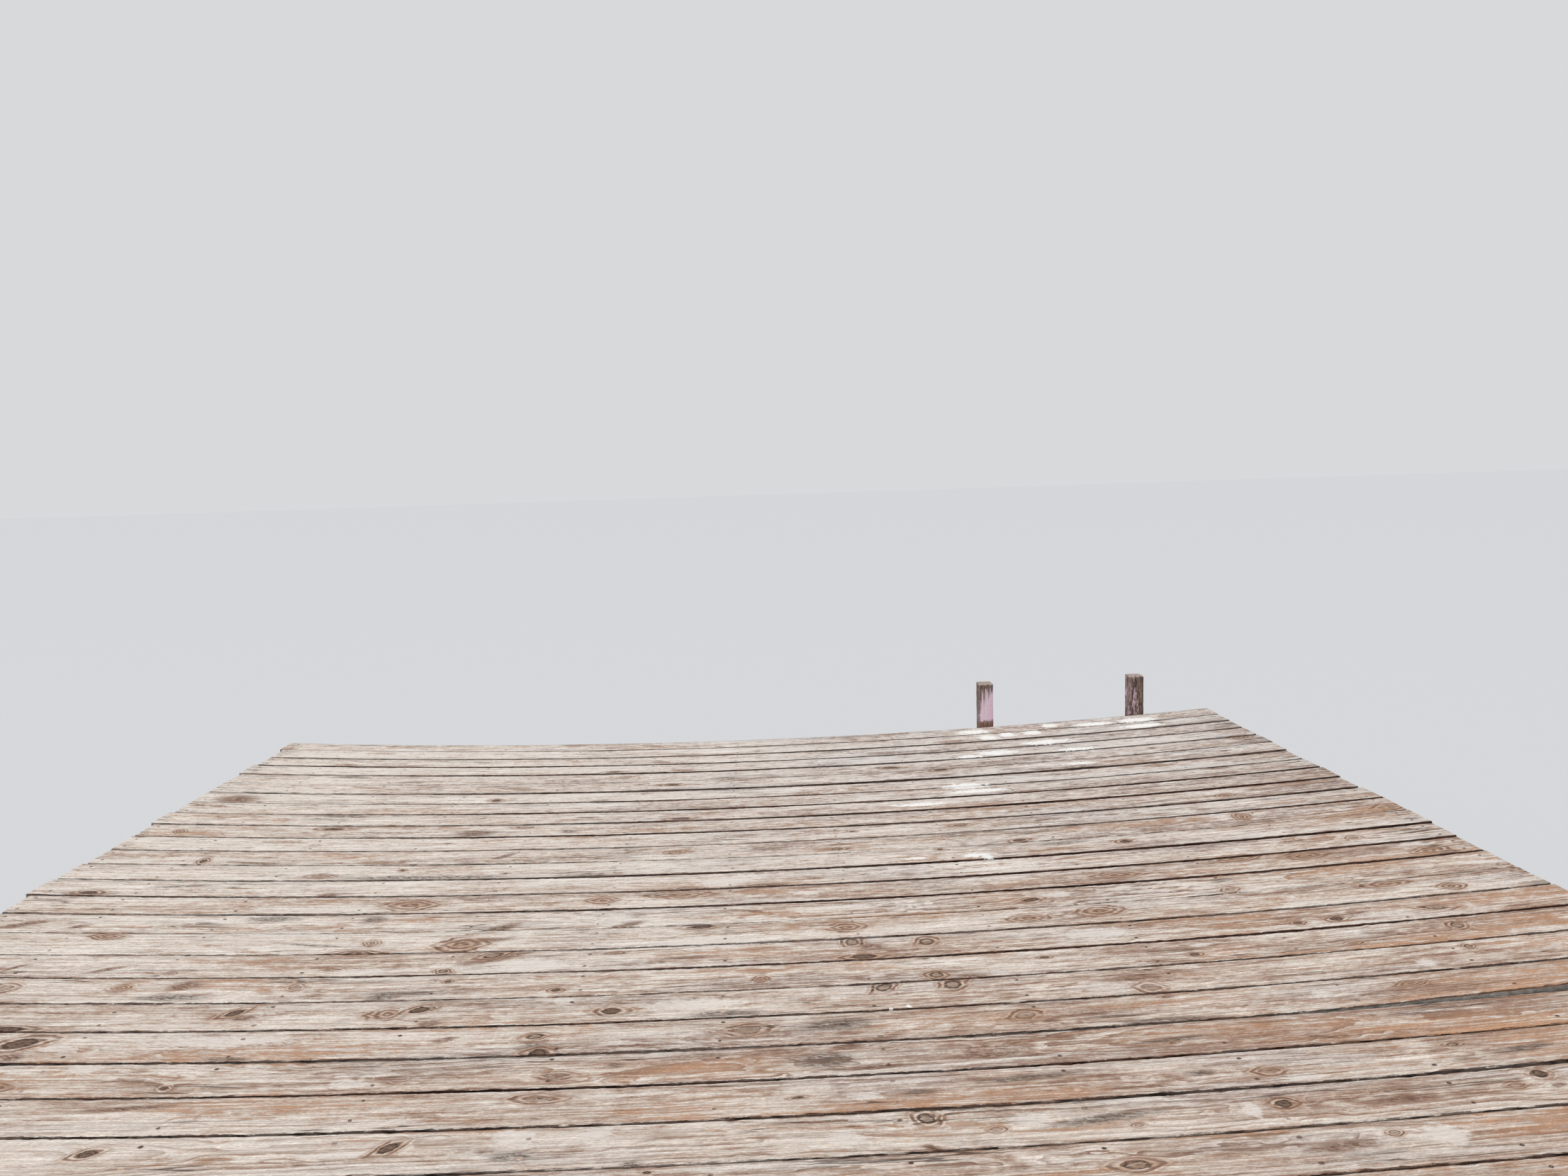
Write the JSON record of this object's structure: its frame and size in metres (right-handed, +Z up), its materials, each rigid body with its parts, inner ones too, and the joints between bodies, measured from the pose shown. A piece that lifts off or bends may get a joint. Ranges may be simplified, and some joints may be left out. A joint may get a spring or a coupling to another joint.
{
  "type": "wooden jetty",
  "caption": "Straight timber jetty: boards laid across joists, paired cross beams on square piles, mooring posts at the water end. For walking out over water and tying up boats.",
  "frame": {"origin": "middle of the footprint, at the level of the pile feet", "axes": "+X to the right along the deck boards, +Y from the shore end to the open-water end, +Z up"},
  "size_m": [5.006, 7.492, 1.2438],
  "materials": {
    "deck_timber": "bleached and worn softwood, rough sawn, grey-black along the edges",
    "frame_timber": "weathered grey-brown softwood, shaded and damp",
    "pile_timber": "weathered treated softwood, darker and greener near the water",
    "painted_post_timber": "faded pink paint peeling off brown wood",
    "bare_post_timber": "bare weathered wood with traces of pink paint and lichen"
  },
  "bodies": {
    "root": {"deck_boards_bay_1": "deck_timber", "deck_boards_bay_2": "deck_timber", "deck_boards_bay_3": "deck_timber", "joists_bay_1": "frame_timber", "joists_bay_2": "frame_timber", "joists_bay_3": "frame_timber", "left_side_joist_bay_1": "frame_timber", "left_side_joist_bay_2": "frame_timber", "left_side_joist_bay_3": "frame_timber", "right_side_joist_bay_1": "frame_timber", "right_side_joist_bay_2": "frame_timber", "right_side_joist_bay_3": "frame_timber", "shore_end_board": "frame_timber", "water_end_board": "frame_timber", "row_1_shore_side_beam": "frame_timber", "row_2_shore_side_beam": "frame_timber", "row_3_shore_side_beam": "frame_timber", "row_4_shore_side_beam": "frame_timber", "row_1_water_side_beam": "frame_timber", "row_2_water_side_beam": "frame_timber", "row_3_water_side_beam": "frame_timber", "row_4_water_side_beam": "frame_timber", "row_1_pile_1": "pile_timber", "row_1_pile_2": "pile_timber", "row_1_pile_3": "pile_timber", "row_2_pile_1": "pile_timber", "row_2_pile_2": "pile_timber", "row_2_pile_3": "pile_timber", "row_3_pile_1": "pile_timber", "row_3_pile_2": "pile_timber", "row_3_pile_3": "pile_timber", "row_4_pile_1": "pile_timber", "row_4_pile_2": "pile_timber", "row_4_pile_3": "pile_timber", "left_mooring_post": "painted_post_timber", "right_mooring_post": "bare_post_timber"}
  },
  "joints": []
}
